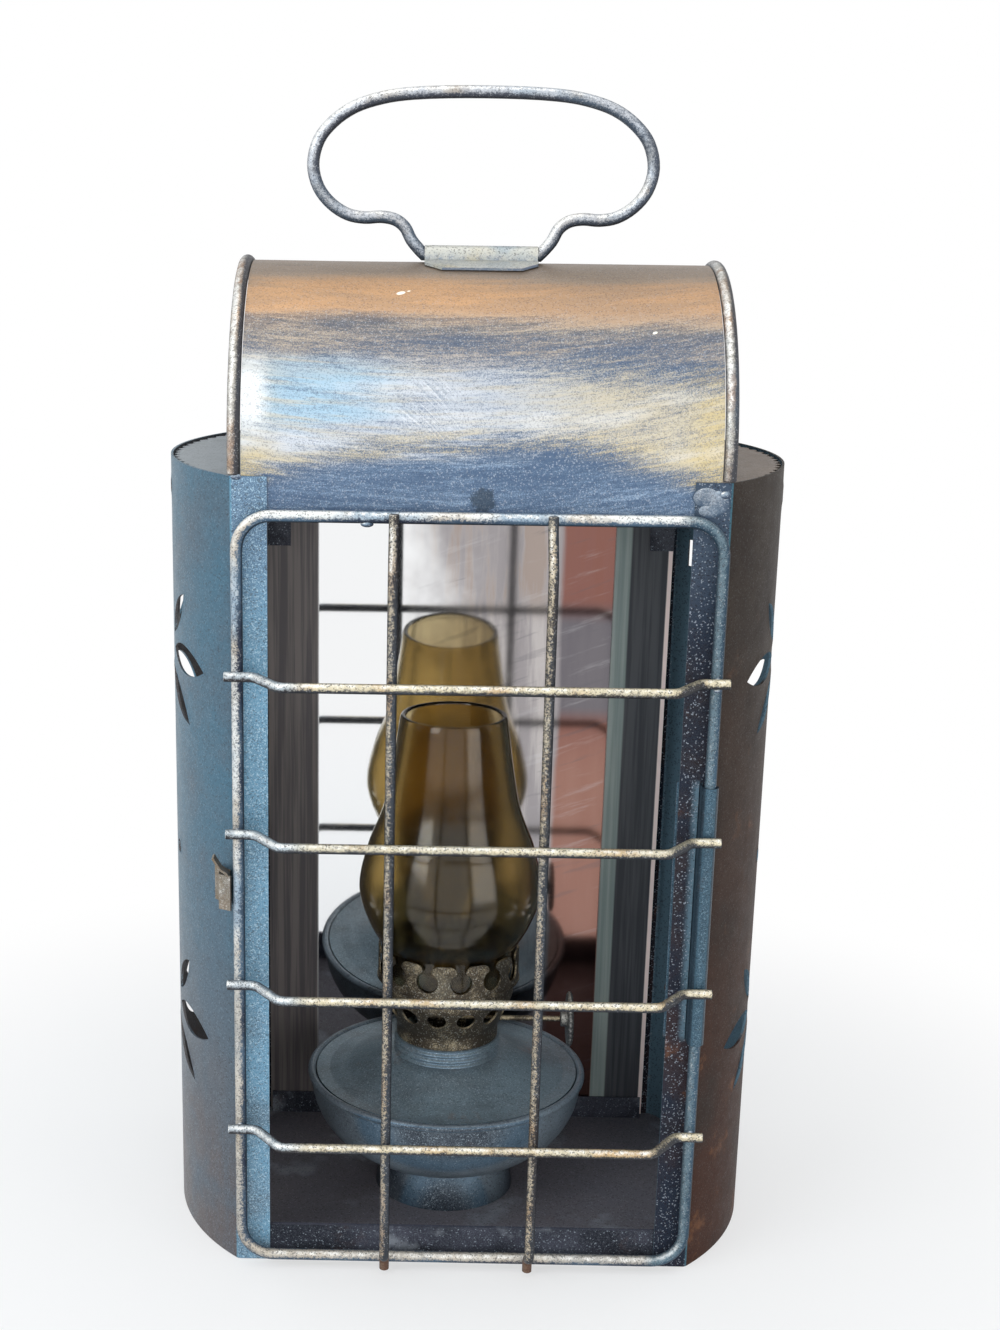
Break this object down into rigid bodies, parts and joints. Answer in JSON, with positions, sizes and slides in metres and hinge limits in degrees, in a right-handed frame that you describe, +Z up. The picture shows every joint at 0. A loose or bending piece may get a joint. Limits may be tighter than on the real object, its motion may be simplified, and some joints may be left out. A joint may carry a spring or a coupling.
{
  "type": "punched tin oil lantern",
  "caption": "Free-standing sheet-metal lantern with bowed punched sides, barrel hood, folding handle, mirror back, hinged wire guard and a small glass-chimney oil lamp inside.",
  "frame": {"origin": "middle of the underside of the floor plate, on the surface the lantern stands on", "axes": "+Z up, +X to the right of someone facing the door, +Y from the door to the mirror back"},
  "size_m": [0.1884, 0.1315, 0.3603],
  "materials": {
    "case_sheet": "blue-slate metallic paint with fine flake, brushed",
    "case_sheet_brown": "dark brown antique metallic paint",
    "hood_sheet": "dark paint brushed through to pale gold and silver streaks",
    "wire": "dark navy paint with dry-brushed pale gold",
    "catch": "bronze brown, worn bright at the edges",
    "mirror": "silvered glass",
    "lamp_sheet": "blue-grey antique metallic paint",
    "burner": "dark aged brass",
    "chimney": "clear amber-olive glass",
    "wick": "flat woven cotton"
  },
  "bodies": {
    "case": {"side_wall_left": "case_sheet", "side_wall_right": "case_sheet_brown", "floor_plate": "case_sheet", "bottom_rail": "case_sheet", "back_panel": "case_sheet_brown", "hood_sheet": "hood_sheet", "hood_rim_left": "wire", "hood_rim_right": "wire", "hood_end_left": "case_sheet_brown", "hood_end_right": "case_sheet_brown", "cap_plate_left": "case_sheet", "cap_plate_right": "case_sheet", "mirror_glass": "mirror", "mirror_channel": "case_sheet", "mirror_tab_left": "case_sheet", "mirror_tab_right": "case_sheet", "hinge_sleeve": "case_sheet", "door_catch": "catch", "handle_clip": "hood_sheet"},
    "door": {"guard_frame": "wire", "guard_bar_1": "wire", "guard_bar_2": "wire", "guard_bar_3": "wire", "guard_bar_4": "wire", "guard_upright_left": "wire", "guard_upright_right": "wire"},
    "handle": {"handle_bail": "wire"},
    "lamp": {"lamp_foot": "lamp_sheet", "lamp_font": "lamp_sheet", "lamp_lid": "lamp_sheet", "burner_collar": "burner", "burner_basket": "burner", "gallery_crown": "burner", "wick_tube": "burner"},
    "chimney": {"lamp_chimney": "chimney"},
    "wick": {"wick": "wick"},
    "raiser": {"wick_shaft": "burner", "wick_knob": "burner"}
  },
  "joints": [
    {"name": "door_hinge", "type": "hinge", "parent": "case", "child": "door", "pos_m": [0.0696, -0.0588, 0.12], "axis": [0, 0, 1], "range_deg": [0, 90]},
    {"name": "handle_pivot", "type": "hinge", "parent": "case", "child": "handle", "pos_m": [0, 0, 0.30945], "axis": [1, 0, 0], "range_deg": [-90, 90]},
    {"name": "lamp_lift", "type": "slide", "parent": "case", "child": "lamp", "axis": [0, 0, 1], "range_m": [0, 0.025]},
    {"name": "chimney_lift", "type": "slide", "parent": "lamp", "child": "chimney", "axis": [0, 0, 1], "range_m": [0, 0.04]},
    {"name": "wick_raise", "type": "slide", "parent": "lamp", "child": "wick", "axis": [0, 0, 1], "range_m": [-0.002, 0.008]},
    {"name": "knob_turn", "type": "hinge", "parent": "lamp", "child": "raiser", "pos_m": [-0.005, -0.0038, 0.0626], "axis": [1, 0, 0], "range_deg": [-42, 168]}
  ],
  "couplings": [
    {"joint": "wick_raise", "follows": "knob_turn", "m_per_rad": 0.0027}
  ]
}
